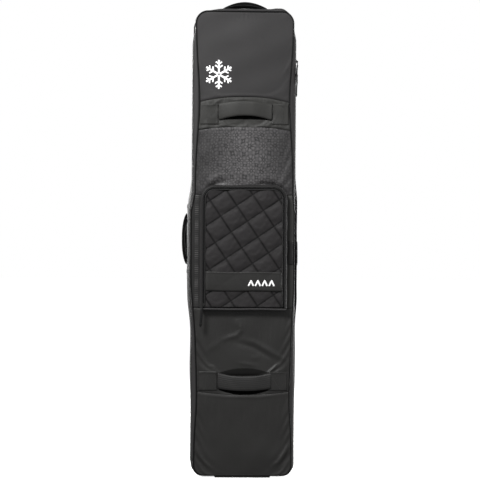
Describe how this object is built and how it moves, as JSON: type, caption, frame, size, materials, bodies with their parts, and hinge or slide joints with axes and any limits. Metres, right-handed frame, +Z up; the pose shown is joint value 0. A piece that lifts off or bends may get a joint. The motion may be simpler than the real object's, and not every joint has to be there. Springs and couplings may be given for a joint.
{
  "type": "snowboard bag",
  "caption": "Tall wheeled snowboard bag with a side-hinged zip lid, a quilted zip pocket, webbing handles and a moulded base.",
  "frame": {"origin": "point of the foot's flat sole below the middle of the bag, on the floor", "axes": "+X to the right seen from the front, +Y to the back, +Z up"},
  "size_m": [0.417, 0.2215, 1.7015],
  "materials": {
    "fabric_main": "matte coated polyester weave",
    "fabric_emboss": "embossed coated weave",
    "fabric_quilt": "quilted woven polyester",
    "webbing": "ribbed nylon webbing",
    "handle_pad": "padded wrap, matte black",
    "piping": "woven piping",
    "zip_tape": "woven tape with nylon coil",
    "slider_metal": "black enamel",
    "pull": "moulded soft rubber",
    "base_plastic": "grained moulding",
    "tyre": "soft polyurethane",
    "hub": "moulded nylon",
    "steel": "zinc plated",
    "foam": "closed-cell foam",
    "lining": "plain-weave lining",
    "board": "polyethylene sheet",
    "buckle": "acetal"
  },
  "bodies": {
    "shell": {"back_panel": "fabric_main", "back_foam": "foam", "back_stiffener": "board", "back_lining": "lining", "left_gusset": "fabric_main", "right_gusset": "fabric_main", "top_gusset": "fabric_main", "gusset_foam": "foam", "base_tray": "base_plastic", "standing_foot": "base_plastic", "base_pad": "foam", "wheel_wells": "base_plastic", "axle_bolts": "steel", "axle_nuts": "steel", "axle_spacers": "steel", "skid_rails": "base_plastic", "case_screws": "steel", "main_zip_shell_half": "zip_tape", "shell_patches": "webbing", "board_straps_left": "webbing", "buckle_sockets": "buckle"},
    "left_wheel": {"left_wheel_hub": "hub", "left_wheel_tyre": "tyre", "left_wheel_bearings": "steel"},
    "right_wheel": {"right_wheel_hub": "hub", "right_wheel_tyre": "tyre", "right_wheel_bearings": "steel"},
    "lid": {"lid_upper_panel": "fabric_main", "lid_handle_band": "fabric_main", "lid_embossed_panel": "fabric_emboss", "lid_pocket_back": "fabric_main", "lid_side_strips": "fabric_emboss", "lid_lower_panel": "fabric_main", "lid_bottom_panel": "fabric_main", "lid_foam": "foam", "lid_lining": "lining", "lid_rim": "fabric_main", "lid_piping": "piping", "main_zip_lid_half": "zip_tape", "lid_patches": "webbing", "pocket_wall": "fabric_main", "pocket_zip_outer_half": "zip_tape"},
    "pocket_flap": {"flap_quilted_panel": "fabric_quilt", "flap_plain_band": "fabric_main", "flap_piping": "piping", "pocket_zip_inner_half": "zip_tape"},
    "top_handle": {"top_handle_webbing": "webbing", "top_handle_grip": "handle_pad"},
    "side_handle": {"side_handle_webbing": "webbing", "side_handle_grip": "handle_pad"},
    "upper_handle": {"upper_handle_strap": "webbing"},
    "lower_handle": {"lower_handle_strap": "webbing"},
    "main_upper_slider": {"main_upper_slider": "slider_metal"},
    "main_upper_pull": {"main_upper_pull": "pull"},
    "main_lower_slider": {"main_lower_slider": "slider_metal"},
    "main_lower_pull": {"main_lower_pull": "pull"},
    "pocket_slider": {"pocket_slider": "slider_metal"},
    "pocket_pull": {"pocket_pull": "pull"},
    "upper_buckle_plug": {"upper_buckle_plug": "buckle"},
    "lower_buckle_plug": {"lower_buckle_plug": "buckle"}
  },
  "joints": [
    {"name": "lid_hinge", "type": "hinge", "parent": "shell", "child": "lid", "pos_m": [-0.184, -0.0885, 0.844], "axis": [0, 0, -1], "range_deg": [0, 165]},
    {"name": "pocket_flap_hinge", "type": "hinge", "parent": "lid", "child": "pocket_flap", "pos_m": [0, -0.119, 0.606], "axis": [1, 0, 0], "range_deg": [0, 170]},
    {"name": "left_wheel_spin", "type": "hinge", "parent": "shell", "child": "left_wheel", "pos_m": [-0.12, 0.066, 0.033], "axis": [1, 0, 0], "continuous": true},
    {"name": "right_wheel_spin", "type": "hinge", "parent": "shell", "child": "right_wheel", "pos_m": [0.12, 0.066, 0.033], "axis": [1, 0, 0], "continuous": true},
    {"name": "top_handle_tilt", "type": "hinge", "parent": "shell", "child": "top_handle", "pos_m": [0, 0.01, 1.681], "axis": [1, 0, 0], "range_deg": [-35, 35], "stiffness_Nm_per_rad": 0.12},
    {"name": "side_handle_tilt", "type": "hinge", "parent": "shell", "child": "side_handle", "pos_m": [-0.189, 0, 0.853], "axis": [0, 0, 1], "range_deg": [-35, 35], "stiffness_Nm_per_rad": 0.12},
    {"name": "upper_handle_lift", "type": "hinge", "parent": "lid", "child": "upper_handle", "pos_m": [0.003, -0.092, 1.346], "axis": [-1, 0, 0], "range_deg": [0, 45]},
    {"name": "lower_handle_lift", "type": "hinge", "parent": "lid", "child": "lower_handle", "pos_m": [0, -0.092, 0.377], "axis": [-1, 0, 0], "range_deg": [0, 45]},
    {"name": "main_upper_zip", "type": "slide", "parent": "shell", "child": "main_upper_slider", "axis": [0, 0, 1], "range_m": [0, 0.125]},
    {"name": "main_upper_pull_swing", "type": "hinge", "parent": "main_upper_slider", "child": "main_upper_pull", "pos_m": [0.1902, -0.0724, 1.49], "axis": [0, -1, 0], "range_deg": [0, 150]},
    {"name": "main_lower_zip", "type": "slide", "parent": "shell", "child": "main_lower_slider", "axis": [0, 0, -1], "range_m": [0, 1.37]},
    {"name": "main_lower_pull_swing", "type": "hinge", "parent": "main_lower_slider", "child": "main_lower_pull", "pos_m": [0.1902, -0.0724, 1.44], "axis": [0, -1, 0], "range_deg": [0, 60]},
    {"name": "pocket_zip", "type": "slide", "parent": "lid", "child": "pocket_slider", "axis": [0, 0, 1], "range_m": [0, 0.365]},
    {"name": "pocket_pull_swing", "type": "hinge", "parent": "pocket_slider", "child": "pocket_pull", "pos_m": [-0.1426, -0.1192, 0.618], "axis": [-1, 0, 0], "range_deg": [0, 160]},
    {"name": "upper_buckle_release", "type": "slide", "parent": "shell", "child": "upper_buckle_plug", "axis": [1, 0, 0], "range_m": [0, 0.024]},
    {"name": "lower_buckle_release", "type": "slide", "parent": "shell", "child": "lower_buckle_plug", "axis": [1, 0, 0], "range_m": [0, 0.024]}
  ]
}
